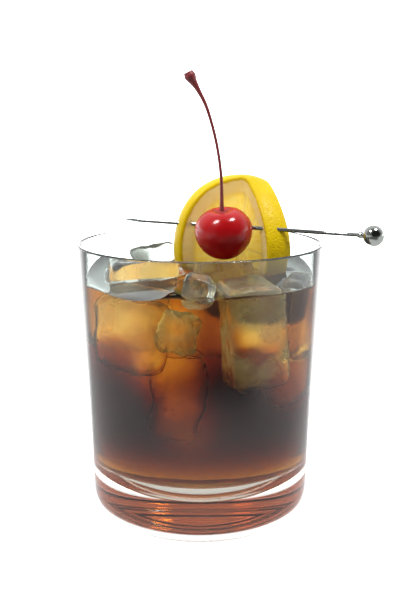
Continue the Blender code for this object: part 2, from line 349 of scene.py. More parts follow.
SUNK_ICE = {
    "ice_sunk_front_left": dict(
        centre=(-21.5, -21.0, 72.0), size=(25.0, 15.0, 25.0), turn=(-4, 4, -38), edge=5.5, seed=11, dent=1.6),
    "ice_sunk_cloud": dict(
        centre=(-6.5, -29.5, 74.5), size=(14.0, 8.0, 15.0), turn=(10, 8, 20), edge=3.8, seed=16, dent=2.4),
    "ice_sunk_column": dict(
        centre=(-6.5, -15.0, 50.0), size=(14.5, 13.0, 30.0), turn=(5, 4, 12), edge=3.8, seed=12, dent=1.8),
    "ice_sunk_low_right": dict(
        centre=(26.0, -4.0, 53.5), size=(17.0, 22.0, 17.0), turn=(8, -24, -8), edge=3.8, seed=13),
    "ice_sunk_back_right": dict(
        centre=(17.0, 28.0, 69.0), size=(23.0, 13.0, 28.0), turn=(-3, 4, -26), edge=3.6, seed=15),
}
print(len(STANDING_ICE), "blocks break the surface,", len(SUNK_ICE), "are sunk")

# %% [markdown]
# ### Melted blocks
# A block could be a cube with Bevel and Displace modifiers. Here every point of a divided cube is pushed
# out from a smaller box inside, which rounds the edges evenly. Then the eight corners wander a little, as
# cubes never melt evenly, and smooth noise presses the dents. The same function, with its surface drawn in
# a hair, makes the shapes that are cut from the drink later.

# %% Ice shapes
CORNER_WANDER = 0.9
DENT_DEPTH = 0.35
DENT_LENGTH = 9.0
FINE_DENT_SHARE = 0.45
FINE_DENT_RATE = 2.7
SEED_STRIDE = 7.3
CAVITY_GROWTH = -0.15
ICE_GRID = 22


def box_grid(divisions):
    """Points and quads of a cube from -1 to 1 with each side divided."""
    work = bmesh.new()
    bmesh.ops.create_cube(work, size=2.0)
    bmesh.ops.subdivide_edges(work, edges=work.edges, cuts=divisions - 1, use_grid_fill=True)
    points = [vert.co.copy() for vert in work.verts]
    quads = [[vert.index for vert in face.verts] for face in work.faces]
    work.free()
    return points, quads


GRID_POINTS, GRID_QUADS = box_grid(ICE_GRID)


def ice_shape(name, centre, size, turn, edge, seed, dent=DENT_DEPTH, growth=0.0):
    """One uneven rounded block; dent is its dents' depth, and growth moves its surface out."""
    wander = np.random.default_rng(seed).uniform(-1, 1, (8, 3)) * CORNER_WANDER
    turned = Euler([math.radians(angle) for angle in turn]).to_matrix()
    half = Vector(size) / 2
    core = Vector([length - edge for length in half])
    verts = []
    for point in GRID_POINTS:
        place = Vector([point[axis] * half[axis] for axis in range(3)])
        inner = Vector([min(max(place[axis], -core[axis]), core[axis]) for axis in range(3)])
        outward = (place - inner).normalized()
        weights = [math.prod((1 + (1 if index & bit else -1) * point[axis]) / 2
                             for axis, bit in enumerate((1, 2, 4))) for index in range(8)]
        shift = Vector(sum(weight * wander[index] for index, weight in enumerate(weights)))
        base = inner + outward * edge + shift
        ground = base / DENT_LENGTH + Vector((seed * SEED_STRIDE, 0, 0))
        uneven = (noise.noise(ground) + FINE_DENT_SHARE * noise.noise(ground * FINE_DENT_RATE)) * dent
        verts.append((Vector(centre) + turned @ (base + outward * (growth + uneven))) * MM)
    return mesh_object(name, verts, GRID_QUADS)


ice_pieces = {}
ice_cavities = []
for name, values in {**STANDING_ICE, **SUNK_ICE}.items():
    ice_pieces[name] = ice_shape(name + "_block" if name in STANDING_ICE else name, **values)
    ice_cavities.append(ice_shape(name + "_cavity", growth=CAVITY_GROWTH, **values))
print(len(ice_pieces), "ice blocks of", len(GRID_QUADS), "faces each")

# %% [markdown]
# ### Clear and cloudy ice
# Ice freezes clear at the outside and traps air in its middle, which turns it milky. So each kind of ice is
# a clear solid with an IOR of 1.31, mixed in patches about 14 mm wide with a soft white that passes most
# light on and throws some back; on the shard the patches are grey instead, a painted shade. Under the
# surface the drink's own mesh bends the light at the cavity wall, so sunk faces get an IOR of 1 and leave the
# light alone.

# %% Ice materials
CLOUD_PATCH = 14.3
CLOUD_THROWN_BACK = 0.3


def ice_material(name, ior, roughness, cloud_to, tone="#EEF6E2"):
    """Ice whose cloudy patches hide up to a share of what is behind them, in their own tone."""
    made, tree = new_material(name)
    solid = add(tree, "TexCoord").outputs["Object"]
    clear = add(tree, "BsdfPrincipled", inputs={
        "Base Color": linear("#FCFFFC"), "Roughness": roughness, "IOR": ior, "Transmission Weight": 1.0})
    through = add(tree, "BsdfTranslucent", inputs={"Color": linear(tone)})
    back = add(tree, "BsdfDiffuse", inputs={"Color": linear(tone)})
    cloud = add(tree, "MixShader", inputs={0: CLOUD_THROWN_BACK, 1: through.outputs[0], 2: back.outputs[0]})
    patches = add(tree, "TexNoise", inputs={
        "Vector": solid, "Scale": cells_of(CLOUD_PATCH), "Detail": 4.0}).outputs[0]
    amount = add(tree, "MapRange", {"interpolation_type": 'SMOOTHSTEP'}, {
        "Value": patches, "From Min": 0.38, "From Max": 0.66, "To Max": cloud_to}).outputs[0]
    finish_material(tree, add(tree, "MixShader", inputs={
        0: amount, 1: clear.outputs[0], 2: cloud.outputs[0]}))
    return made


# Wet ice over the surface: smooth, nearly clear, a little warm from the drink that runs off it
ice_in_air = ice_material("melting_ice", ICE_IOR, 0.03, 0.22, "#F6E6C6")
# A broken shard: its patches are painted grey, a painted shade that stands for grey facets against the white
# behind it
shard_ice_painted_grey = ice_material("shard_ice_painted_shade", ICE_IOR, 0.06, 0.8, "#98A096")
# Clear ice in the drink: seen only by the drink that it keeps out, as a brighter shape
ice_in_drink = ice_material("clear_ice_sunk", 1.0, 0.0, 0.16)
# Milky ice in the drink: catches light, so it stays pale in front of the dark drink
cloudy_in_drink = ice_material("cloudy_ice_sunk", 1.0, 0.0, 0.75)
print("ice bends light by", ICE_IOR)

# %% [markdown]
# ### Two sides of the waterline
# A block that stands in the drink needs both kinds of faces. It is cut exactly at the drink's level, so
# that each face lies on one side, and the faces below take the second slot.

# %% Split and finish the ice
CLOUDY_BLOCKS = ("ice_right", "ice_nub", "ice_sunk_cloud")


def split_at_waterline(piece):
    """Cut the block at the drink's level and put the faces below it in the second material slot."""
    work = bmesh.new()
    work.from_mesh(piece.data)
    geometry = work.verts[:] + work.edges[:] + work.faces[:]
    bmesh.ops.bisect_plane(work, geom=geometry, plane_co=(0, 0, DRINK_LEVEL), plane_no=(0, 0, 1))
    for face in work.faces:
        face.material_index = 0 if face.calc_center_median().z > DRINK_LEVEL else 1
    work.to_mesh(piece.data)
    work.free()


for name, piece in ice_pieces.items():
    split_at_waterline(piece)
    dry = shard_ice_painted_grey if name == "ice_shard" else ice_in_air
    sunk = cloudy_in_drink if name in CLOUDY_BLOCKS else ice_in_drink
    finish_piece(piece, [name] if name in STANDING_ICE else [], [dry, sunk])

# %% [markdown]
# ## Lemon slice
# A slice of lemon is a disc with yellow rind, white pith and juicy segments. Here it is folded round the
# cherry, one wing to the left and a thicker one toward the camera. It could be a flat disc bent with a
# Simple Deform modifier; a function that maps the disc along a fold in plan is used, because it keeps the
# slice's thickness true round the bend.

# %% Lemon sizes and fold
SLICE_RADIUS = 26.1 * MM
SLICE_SQUEEZE = 0.965
LEFT_WING_THICKNESS = 6.0 * MM
RIGHT_WING_THICKNESS = 9.0 * MM
SLICE_CENTRE_HEIGHT = 95.2 * MM
FOLD_START = Vector((12.0, 16.2, 0)) * MM
FOLD_RADIUS = 7.0 * MM
LEFT_WING_HEADING = math.radians(22.0)
RIGHT_WING_HEADING = math.radians(-67.5)
LEFT_WING_LENGTH = 22.0 * MM
RIND_BULGE = 0.7 * MM
# Share of the radius at each eighth of a turn, as no lemon is quite round
SLICE_OUTLINE = (0.995, 0.935, 0.995, 1.035, 1.0, 0.97, 1.0, 0.97)


def fold_point(along):
    """Plan place of the slice's middle surface and the direction that its inner side faces."""
    turn = LEFT_WING_HEADING - RIGHT_WING_HEADING
    travel = along - (LEFT_WING_LENGTH - SLICE_RADIUS * SLICE_SQUEEZE)
    angle = LEFT_WING_HEADING - min(max(travel / FOLD_RADIUS, 0.0), turn)
    inward = Vector((math.sin(LEFT_WING_HEADING), -math.cos(LEFT_WING_HEADING), 0))
    sideways = Vector((math.sin(angle), -math.cos(angle), 0))
    heading = Vector((math.cos(angle), math.sin(angle), 0))
    straight = min(travel, 0.0) + max(travel - FOLD_RADIUS * turn, 0.0)
    return FOLD_START + (inward - sideways) * FOLD_RADIUS + heading * straight, sideways


def slice_radius(turn):
    """The slice's radius, which varies a little at each eighth of a turn from its right end."""
    place = turn % (2 * math.pi) / (2 * math.pi) * len(SLICE_OUTLINE)
    before = int(place) % len(SLICE_OUTLINE)
    blend = (1 - math.cos(math.pi * (place % 1))) / 2
    here, following = SLICE_OUTLINE[before], SLICE_OUTLINE[(before + 1) % len(SLICE_OUTLINE)]
    return SLICE_RADIUS * (here + (following - here) * blend)


def slice_thickness(along):
    """The slice's thickness, which grows evenly from its left end to its right end."""
    share = 0.5 + along / (2 * SLICE_RADIUS)
    return LEFT_WING_THICKNESS + (RIGHT_WING_THICKNESS - LEFT_WING_THICKNESS) * share


print("the slice is", slice_thickness(0) / MM, "mm thick in its middle")

# %% [markdown]
# ### Segments
# On a cut lemon the soft juice sacs sag a little, and the tougher white walls between the segments stand
# up. The relief is worked out from the distance to the middle and the angle round it, the same two numbers
# that later place the colours. It could be a bump in the material, but real relief also catches the light
# at its edges.

# %% Lemon shape
PITH_WIDTH = 5.2 * MM
FLESH_DEPTH = 0.4 * MM
FLESH_SWELL = 0.12 * MM
SWELL_RATE = 26
SEGMENT_COUNT = 9
CORE_SHARE = 0.09
SLICE_SECTORS = 216
CAVITY_SECTORS = 72
RIND_DEPTHS = (0.93, 0.75, 0.45, 0.15, -0.15, -0.45, -0.75, -0.93)


def slice_relief(share, turn):
    """How far a face lies below its pith: the segments sink a little and the walls between them stand up."""
    flesh = 1.0 - PITH_WIDTH / SLICE_RADIUS
    if share >= flesh or share < CORE_SHARE:
        return 0.0
    edge = min((flesh - share) / 0.05, (share - CORE_SHARE) / 0.06, 1.0)
    across = abs((turn * SEGMENT_COUNT / (2 * math.pi)) % 1.0 - 0.5)
    wall = 1.0 - min(max((across - 0.5 + 0.05 / max(share, 0.15)) / 0.06, 0.0), 1.0)
    ground = Vector((share * SWELL_RATE * math.cos(turn), share * SWELL_RATE * math.sin(turn), 4.0))
    return FLESH_DEPTH * edge * wall + FLESH_SWELL * noise.noise(ground)


def lemon_shape(name, growth=0.0, sectors=SLICE_SECTORS):
    """Two dished faces and a bulged rind, bent round the fold; the flat place is kept as an attribute."""
    shares = list(np.linspace(0.03, 0.985, 34))
    turns = [2 * math.pi * (step + 0.5) / sectors for step in range(sectors)]
    rings = [(share, 1.0) for share in shares]
    rings += [(1.0, depth) for depth in RIND_DEPTHS]
    rings += [(share, -1.0) for share in reversed(shares)]
    verts = []
    flat = []

    def place(share, turn, depth):
        reach = (slice_radius(turn) + growth) * share + RIND_BULGE * (1 - depth * depth)
        sink = slice_relief(share, turn) if abs(depth) == 1 and not growth else 0.0
        across = reach * math.cos(turn) * SLICE_SQUEEZE
        half = slice_thickness(across) / 2 + growth - sink
        middle, sideways = fold_point(across)
        up = reach * math.sin(turn)
        verts.append(middle + sideways * depth * half + Vector((0, 0, SLICE_CENTRE_HEIGHT + up)))
        flat.append((share * math.cos(turn), share * math.sin(turn), depth))

    place(0.0, 0.0, 1.0)
    for share, depth in rings:
        for turn in turns:
            place(share, turn, depth)
    place(0.0, 0.0, -1.0)
    faces = []
    for step in range(sectors):
        after = (step + 1) % sectors
        faces.append((0, 1 + step, 1 + after))
        for ring in range(len(rings) - 1):
            low = 1 + ring * sectors
            high = low + sectors
            faces.append((low + step, high + step, high + after, low + after))
        top = 1 + (len(rings) - 1) * sectors
        faces.append((top + step, len(verts) - 1, top + after))
    made = mesh_object(name, verts, faces)
    places = made.data.attributes.new("slice_place", 'FLOAT_VECTOR', 'POINT')
    places.data.foreach_set("vector", np.array(flat, dtype=np.float32).ravel())
    return made


lemon = lemon_shape("lemon_slice_folded")
lemon_cavity = lemon_shape("lemon_cavity", growth=CAVITY_GROWTH * MM, sectors=CAVITY_SECTORS)
print("the slice reaches down to", min(vert.co.z for vert in lemon.data.vertices) / MM, "mm")

# %% [markdown]
# ### Zest, pith and flesh
# The zones follow the flat slice: the distance from its middle and the angle round it. Zest is waxy and
# full of oil glands about 0.9 mm apart, which the eye reads as a pitted shine. The pith is matt and pale.
# The juice sacs are wet bags of juice that point to the middle and let light through, which gives the glow
# of a slice held against a lamp. A sac is about 2 mm wide and 4 mm long.

# %% Lemon material
FLESH_EDGE = (0.77, 0.81)
ZEST_EDGE = (0.945, 0.965)
CORE_EDGE = (0.07, 0.12)
WALL_EDGE = (0.012, 0.03)
EDGE_WOBBLE = 0.02
BLOTCH_SIZE = 3.85
GLAND_SPACING = 0.87
# Stretch of the sac pattern over a radian and over the radius, and its scale: cells about 2 mm wide
SACS_ACROSS = 7.0
SACS_ALONG = 4.5
SAC_SCALE = 1.3


def lemon_material():
    made, tree = new_material("lemon_zest_pith_and_flesh")
    place = add(tree, "Attribute", {"attribute_name": "slice_place"})
    parts = add(tree, "SeparateXYZ", inputs={"Vector": place.outputs["Vector"]})
    flat = add(tree, "CombineXYZ", inputs={"X": parts.outputs["X"], "Y": parts.outputs["Y"]})
    share = add(tree, "VectorMath", {"operation": 'LENGTH'}, {0: flat.outputs[0]}).outputs["Value"]
    turn = add(tree, "Math", {"operation": 'ARCTAN2'}, {
        0: parts.outputs["Y"], 1: parts.outputs["X"]}).outputs[0]

    # How far a place is from the nearest wall between two segments
    count = add(tree, "Math", {"operation": 'MULTIPLY'}, {
        0: turn, 1: SEGMENT_COUNT / (2 * math.pi)}).outputs[0]
    lap = add(tree, "Math", {"operation": 'FRACT'}, {0: count}).outputs[0]
    across = add(tree, "Math", {"operation": 'SUBTRACT'}, {0: lap, 1: 0.5}).outputs[0]
    across = add(tree, "Math", {"operation": 'ABSOLUTE'}, {0: across}).outputs[0]
    off_wall = add(tree, "Math", {"operation": 'SUBTRACT'}, {0: 0.5, 1: across}).outputs[0]
    wall_gap = add(tree, "Math", {"operation": 'MULTIPLY'}, {0: off_wall, 1: share}).outputs[0]

    # The zones, with slightly ragged borders
    solid = add(tree, "TexCoord").outputs["Object"]
    blotch = add(tree, "TexNoise", inputs={
        "Vector": solid, "Scale": cells_of(BLOTCH_SIZE), "Detail": 3.0}).outputs[0]
    wobble = add(tree, "MapRange", inputs={
        "Value": blotch, "To Min": -EDGE_WOBBLE, "To Max": EDGE_WOBBLE}).outputs[0]
    ragged = add(tree, "Math", {"operation": 'ADD'}, {0: share, 1: wobble}).outputs[0]
    in_flesh = add(tree, "MapRange", inputs={
        "Value": ragged, "From Min": FLESH_EDGE[0], "From Max": FLESH_EDGE[1],
        "To Min": 1.0, "To Max": 0.0}).outputs[0]
    past_core = add(tree, "MapRange", inputs={
        "Value": ragged, "From Min": CORE_EDGE[0], "From Max": CORE_EDGE[1]}).outputs[0]
    off_walls = add(tree, "MapRange", inputs={
        "Value": wall_gap, "From Min": WALL_EDGE[0], "From Max": WALL_EDGE[1]}).outputs[0]
    flesh = add(tree, "Math", {"operation": 'MULTIPLY'}, {0: in_flesh, 1: past_core}).outputs[0]
    flesh = add(tree, "Math", {"operation": 'MULTIPLY'}, {0: flesh, 1: off_walls}).outputs[0]
    zest = add(tree, "MapRange", inputs={
        "Value": ragged, "From Min": ZEST_EDGE[0], "From Max": ZEST_EDGE[1]}).outputs[0]

    # Juice sacs in a fan: cells that are long toward the middle
    fan_across = add(tree, "Math", {"operation": 'MULTIPLY'}, {0: turn, 1: SACS_ACROSS}).outputs[0]
    fan_along = add(tree, "Math", {"operation": 'MULTIPLY'}, {0: share, 1: SACS_ALONG}).outputs[0]
    fan = add(tree, "CombineXYZ", inputs={
        "X": fan_across, "Y": fan_along, "Z": parts.outputs["Z"]}).outputs[0]
    sacs = add(tree, "TexVoronoi", {"feature": 'SMOOTH_F1'}, {
        "Vector": fan, "Scale": SAC_SCALE}).outputs["Distance"]
    sac_tone = add(tree, "MapRange", inputs={"Value": sacs, "From Min": 0.15, "From Max": 0.7}).outputs[0]

    # Colours
    flesh_colour = add(tree, "Mix", {"data_type": 'RGBA'}, {
        0: sac_tone, 6: linear("#F8E484"), 7: linear("#FDF2B2")}).outputs[2]
    pith_colour = add(tree, "Mix", {"data_type": 'RGBA'}, {
        0: blotch, 6: linear("#FBF0C4"), 7: linear("#F2E2A0")}).outputs[2]
    zest_colour = add(tree, "Mix", {"data_type": 'RGBA'}, {
        0: blotch, 6: linear("#D2AC04"), 7: linear("#E0C412")}).outputs[2]
    face = add(tree, "Mix", {"data_type": 'RGBA'}, {0: flesh, 6: pith_colour, 7: flesh_colour}).outputs[2]
    colour = add(tree, "Mix", {"data_type": 'RGBA'}, {0: zest, 6: face, 7: zest_colour}).outputs[2]

    # Pitted zest, ribbed flesh, and each zone's own shine
    glands = add(tree, "TexVoronoi", inputs={
        "Vector": solid, "Scale": cells_of(GLAND_SPACING)}).outputs["Distance"]
    pits = add(tree, "MapRange", inputs={"Value": glands, "From Max": 0.45}).outputs[0]
    height = add(tree, "Mix", {"data_type": 'FLOAT'}, {0: zest, 2: sac_tone, 3: pits}).outputs[0]
    bump = add(tree, "Bump", inputs={"Height": height, "Strength": 0.5, "Distance": 0.3 * MM}).outputs[0]
    matt = add(tree, "MapRange", inputs={"Value": flesh, "To Min": 0.5, "To Max": 0.22}).outputs[0]
    rough = add(tree, "Mix", {"data_type": 'FLOAT'}, {0: zest, 2: matt, 3: 0.36}).outputs[0]
    glow = add(tree, "Mix", {"data_type": 'FLOAT'}, {0: zest, 2: 0.5, 3: 0.12}).outputs[0]
    shader = add(tree, "BsdfPrincipled", inputs={
        "Base Color": colour, "Roughness": rough, "Subsurface Weight": glow, "Normal": bump,
        "Subsurface Radius": (1.0, 0.8, 0.35), "Subsurface Scale": 4 * MM, "IOR": 1.4,
        "Specular IOR Level": 0.2})

    # Light from behind comes through the flesh and, less, through the pith
    from_behind = add(tree, "BsdfTranslucent", inputs={"Color": face, "Normal": bump})
    off_zest = add(tree, "MapRange", inputs={"Value": zest, "To Min": 0.5, "To Max": 0.0}).outputs[0]
    let_through = add(tree, "Mix", {"data_type": 'FLOAT'}, {0: flesh, 2: off_zest, 3: 0.75}).outputs[0]
    finish_material(tree, add(tree, "MixShader", inputs={
        0: let_through, 1: shader.outputs[0], 2: from_behind.outputs[0]}))
    return made


finish_piece(lemon, ["lemon_slice"], [lemon_material()])

# %% [markdown]
# ## Drink
# The drink fills the glass from the floor to its level and creeps up the wall. Its mesh reaches 0.2 mm into
# the wall, so that no air gap shows, and Booleans cut out the ice and the lemon. Each kind of face then
# needs its own bend of light: none inside the wall, 1.37 to the air, and 1.37 over 1.31 to the ice.
# Material slots mark the kinds, because a Boolean carries them over to the faces that it makes.

# %% Drink shape
WALL_REACH = -0.2 * MM
WALL, SURFACE, CAVITY = 0, 1, 2
EDGE_ZONE = 12 * MM


def surface_height(radius):
    """The drink's level, which rises near the wall."""
    gap = max(edge_radius - radius, 0.0)
    return DRINK_LEVEL + MENISCUS_RISE * math.exp(-gap / MENISCUS_REACH)


wall_outline = cavity_profile(WALL_REACH, contact_height)
top_radii = [edge_radius - gap * MM for gap in (0.0, 0.3, 0.6, 1.0, 1.5, 2.1, 2.9, 4.0, 6.0, 12.0, 22.0)]
drink_outline = wall_outline + [(radius, surface_height(radius)) for radius in top_radii]
drink_outline.append((0.0, DRINK_LEVEL))
drink_bands = [WALL] * len(wall_outline) + [SURFACE] * (len(drink_outline) - 1 - len(wall_outline))
drink = lathe("drink_with_ice_cavities", drink_outline, ROUND_SEGMENTS, drink_bands)
for vert in drink.data.vertices:
    reach = math.hypot(vert.co.x, vert.co.y)
    if vert.co.z > DRINK_LEVEL - SAME_HEIGHT and reach > edge_radius - EDGE_ZONE:
        nearness = math.exp(-max(edge_radius - reach, 0.0) / MENISCUS_REACH)
        height = vert.co.z + edge_wave(vert.co.x, vert.co.y) * nearness
        vert.co *= 1 + (inner_radius(height) - inner_radius(vert.co.z)) * nearness / reach
        vert.co.z = height
print("drink", len(drink.data.polygons), "faces before cutting")

# %% [markdown]
# ### Room for the ice
# A Boolean modifier takes a body away from another. One for each block of ice and one for the lemon's foot
# are stacked on the drink, and their result is stored as a plain mesh. The bodies that cut are a hair
# smaller than the pieces, so that no empty gap shows round them.

# %% Cut out the ice and the lemon
marks = [bpy.data.materials.new("mark_" + kind) for kind in ("wall", "surface", "cavity")]
for mark in marks:
    drink.data.materials.append(mark)
for cutter in ice_cavities + [lemon_cavity]:
    for mark in marks:
        cutter.data.materials.append(mark)
    cutter.data.polygons.foreach_set("material_index", [CAVITY] * len(cutter.data.polygons))
    cut = drink.modifiers.new(cutter.name, 'BOOLEAN')
    cut.operation = 'DIFFERENCE'
    cut.object = cutter
shaped = bpy.data.meshes.new_from_object(drink.evaluated_get(bpy.context.evaluated_depsgraph_get()))
drink.modifiers.clear()
drink.data = shaped
for cutter in ice_cavities + [lemon_cavity]:
    bpy.data.objects.remove(cutter)
print("drink", len(shaped.polygons), "faces after cutting")

# %% [markdown]
# ### Bend of light at each face
# The slots now say which face is wall, surface or cavity. One material is enough for the drink when each
# face carries its own IOR as a number, an attribute, which the shader reads. The volume inside then stays
# one piece.

# %% Turn the marks into an attribute
IOR_OF = {WALL: 1.0, SURFACE: DRINK_IOR, CAVITY: DRINK_IOR / ICE_IOR}
face_iors = [IOR_OF[face.material_index] for face in shaped.polygons]
shaped.attributes.new("face_ior", 'FLOAT', 'FACE').data.foreach_set("value", face_iors)
shaped.polygons.foreach_set("material_index", [0] * len(shaped.polygons))
shaped.materials.clear()
for mark in marks:
    bpy.data.materials.remove(mark)
shaped.shade_smooth()
print("faces to the ice bend light by", IOR_OF[CAVITY])

# %% [markdown]
# ### Coffee liqueur and vodka
# The drink is a clear brown liquid. It is amber where it is thin and nearly black where it is deep, because
# it takes up blue and green light much faster than red. A Volume Absorption shader does just that: its
# density and colour give how much of each colour is lost in each metre. The strength changes from place to
# place. The heavy liqueur lies low, and meltwater thins it toward the top and round the ice. So the density
# falls with height, and inside a few zones that are long from front to back; one zone at the right wall is
# denser instead, a painted shade. Just over the floor it is set thinner than it would be in a real glass,
# because the bowl's orange disc would be lost otherwise.

# %% Strength of the drink
ABSORBED_PER_MM = (0.084, 0.151, 0.32)
ZONE_SQUEEZE = (1.0, 0.42, 1.0)
ZONE_CORE = 0.35
# Centre and radius in millimetres, and the strength there as a share of the strength round it: below 1 where
# meltwater gathers, above 1 for a painted shade that darkens the drink at the right wall
DRINK_ZONES = {
    "round the big block": ((15.0, -24.0, 71.0), 16.0, 0.3),
    "pale column": ((-8.0, 0.0, 54.0), 18.0, 0.12),
    "foot of the column": ((-3.0, 0.0, 37.0), 14.0, 0.25),
    "low block": ((29.0, -14.0, 53.0), 15.0, 0.2),
    "back of the bowl": ((0.0, 58.0, 16.0), 34.0, 0.15),
    # Painted shade: denser drink that darkens the right wall of the glass
    "painted shade at the right wall": ((42.0, -5.0, 78.0), 18.0, 3.0),
    "behind the cloudy block": ((-7.0, -12.0, 76.0), 14.0, 0.05),
}


def liqueur_share(tree):
    """How strong the drink is at a place: strong at the bottom, thin at the top and inside most zones, and
    denser in the painted shade at the right wall.
    """
    solid = add(tree, "TexCoord").outputs["Object"]
    height = add(tree, "SeparateXYZ", inputs={"Vector": solid}).outputs["Z"]
    top = add(tree, "MapRange", {"interpolation_type": 'SMOOTHSTEP'}, {
        "Value": height, "From Min": 44 * MM, "From Max": 70 * MM,
        "To Min": 1.05, "To Max": 0.44}).outputs[0]
    bottom = add(tree, "MapRange", {"interpolation_type": 'SMOOTHSTEP'}, {
        "Value": height, "From Min": 16 * MM, "From Max": 34 * MM,
        "To Min": 0.3, "To Max": 1.0}).outputs[0]
    share = add(tree, "Math", {"operation": 'MULTIPLY'}, {0: top, 1: bottom}).outputs[0]
    for centre, radius, kept in DRINK_ZONES.values():
        offset = add(tree, "VectorMath", {"operation": 'SUBTRACT'}, {
            0: solid, 1: tuple(length * MM for length in centre)}).outputs[0]
        offset = add(tree, "VectorMath", {"operation": 'MULTIPLY'}, {0: offset, 1: ZONE_SQUEEZE}).outputs[0]
        distance = add(tree, "VectorMath", {"operation": 'LENGTH'}, {0: offset}).outputs["Value"]
        zone = add(tree, "MapRange", {"interpolation_type": 'SMOOTHSTEP'}, {
            "Value": distance, "From Min": radius * ZONE_CORE * MM, "From Max": radius * MM,
            "To Min": kept}).outputs[0]
        share = add(tree, "Math", {"operation": 'MULTIPLY'}, {0: share, 1: zone}).outputs[0]
    return share


print("a 10 mm layer lets through", [round(math.exp(-10 * lost), 2) for lost in ABSORBED_PER_MM])

# %% [markdown]
# ### The drink's faces
# Cold syrup and meltwater swirl along the ice, which blurs what is seen through it: faces to the ice are
# rough in patches about 17 mm wide. Low in the bowl, fine coffee solids and light caught in the thick base
# give the wall a faint orange haze. A diffuse shader adds it as a share that grows toward the floor and the
# back.

# %% Drink material
SWIRL_SIZE = 16.7
HAZE_HEIGHTS = (36 * MM, 24 * MM)
HAZE_FRONT_TO_BACK = (-25 * MM, 10 * MM)
HAZE_SHARES = (0.22, 0.5)


def drink_material():
    made, tree = new_material("coffee_liqueur_and_vodka")
    solid = add(tree, "TexCoord").outputs["Object"]
    ior = add(tree, "Attribute", {"attribute_name": "face_ior"}).outputs["Fac"]
    beside_ice = add(tree, "Math", {"operation": 'COMPARE'}, {
        0: ior, 1: DRINK_IOR / ICE_IOR, 2: 0.01}).outputs[0]
    swirls = add(tree, "TexNoise", inputs={
        "Vector": solid, "Scale": cells_of(SWIRL_SIZE), "Detail": 3.0}).outputs[0]
    blur = add(tree, "MapRange", inputs={
        "Value": swirls, "From Min": 0.35, "From Max": 0.65, "To Min": 0.25, "To Max": 0.5}).outputs[0]
    rough = add(tree, "Math", {"operation": 'MULTIPLY'}, {0: beside_ice, 1: blur}).outputs[0]
    clear = add(tree, "BsdfPrincipled", inputs={
        "Base Color": (1, 1, 1, 1), "Roughness": rough, "IOR": ior, "Transmission Weight": 1.0})

    # Haze low on the wall
    place = add(tree, "SeparateXYZ", inputs={"Vector": solid}).outputs
    most = add(tree, "MapRange", inputs={
        "Value": place["Y"], "From Min": HAZE_FRONT_TO_BACK[0], "From Max": HAZE_FRONT_TO_BACK[1],
        "To Min": HAZE_SHARES[0], "To Max": HAZE_SHARES[1]}).outputs[0]
    near_floor = add(tree, "MapRange", {"interpolation_type": 'SMOOTHSTEP'}, {
        "Value": place["Z"], "From Min": HAZE_HEIGHTS[0], "From Max": HAZE_HEIGHTS[1],
        "To Max": most}).outputs[0]
    on_wall = add(tree, "Math", {"operation": 'COMPARE'}, {0: ior, 1: 1.0, 2: 0.001}).outputs[0]
    haze_share = add(tree, "Math", {"operation": 'MULTIPLY'}, {0: near_floor, 1: on_wall}).outputs[0]
    haze = add(tree, "BsdfDiffuse", inputs={"Color": linear("#BC5C38")})
    surface = add(tree, "MixShader", inputs={0: haze_share, 1: clear.outputs[0], 2: haze.outputs[0]})

    # Absorption: the volume's colour is what it keeps, against the colour that it loses fastest
    fastest = max(ABSORBED_PER_MM)
    kept = [1 - absorbed / fastest for absorbed in ABSORBED_PER_MM]
    density = add(tree, "Math", {"operation": 'MULTIPLY'}, {
        0: liqueur_share(tree), 1: fastest / MM}).outputs[0]
    volume = add(tree, "VolumeAbsorption", inputs={"Color": (*kept, 1.0), "Density": density})
    finish_material(tree, surface, volume)
    return made


finish_piece(drink, ["drink"], [drink_material()])

# %% [markdown]
# ## Cherry
# A maraschino cherry is a slightly flat ball with broad shoulders and a dimple at its stem. It is a lathe
# shape with the dimple worked out by a bell curve, and low noise takes off the perfect roundness.

# %% Cherry shape
CHERRY_CENTRE = Vector((8.3, 0.0, 102.8)) * MM
CHERRY_RADIUS = 10.1 * MM
CHERRY_HALF_HEIGHT = 9.3 * MM
SHOULDER_SHARE = 0.07
CHERRY_TILT = Euler((math.radians(12), math.radians(-5), 0))
DIMPLE_DEPTH = 2.2 * MM
DIMPLE_WIDTH = math.radians(17)
CHERRY_RINGS = 72
CHERRY_SEGMENTS = 120
# Cells in each metre and height of the low bumps
CHERRY_BUMPS = ((190, 0.16 * MM), (420, 0.04 * MM))


def cherry_shape():
    profile = []
    for step in range(CHERRY_RINGS + 1):
        angle = math.pi * step / CHERRY_RINGS
        dimple = DIMPLE_DEPTH * math.exp(-(angle / DIMPLE_WIDTH) ** 2)
        width = (CHERRY_RADIUS - dimple) * (1 + SHOULDER_SHARE * math.cos(angle))
        height = CHERRY_HALF_HEIGHT - dimple
        profile.append((width * math.sin(angle), height * math.cos(angle)))
    made = lathe("cherry_flesh", profile, CHERRY_SEGMENTS)
    for vert in made.data.vertices:
        uneven = sum(noise.noise(vert.co * rate) * depth for rate, depth in CHERRY_BUMPS)
        vert.co += vert.co.normalized() * uneven
    made.data.transform(Matrix.Translation(CHERRY_CENTRE) @ CHERRY_TILT.to_matrix().to_4x4())
    return made


cherry = cherry_shape()
print("cherry", 2 * CHERRY_RADIUS / MM, "mm wide")

# %% [markdown]
# ### Syrup-soaked skin
# The skin is dyed deep red, wet with syrup and a little see-through. A low roughness with a thin coat gives
# the small bright pictures of the lamps, and a short red subsurface gives the glow at the rim that faces
# the light.

# %% Cherry material
DYE_CLOUD = 5.9
SKIN_GRAIN = 1.11


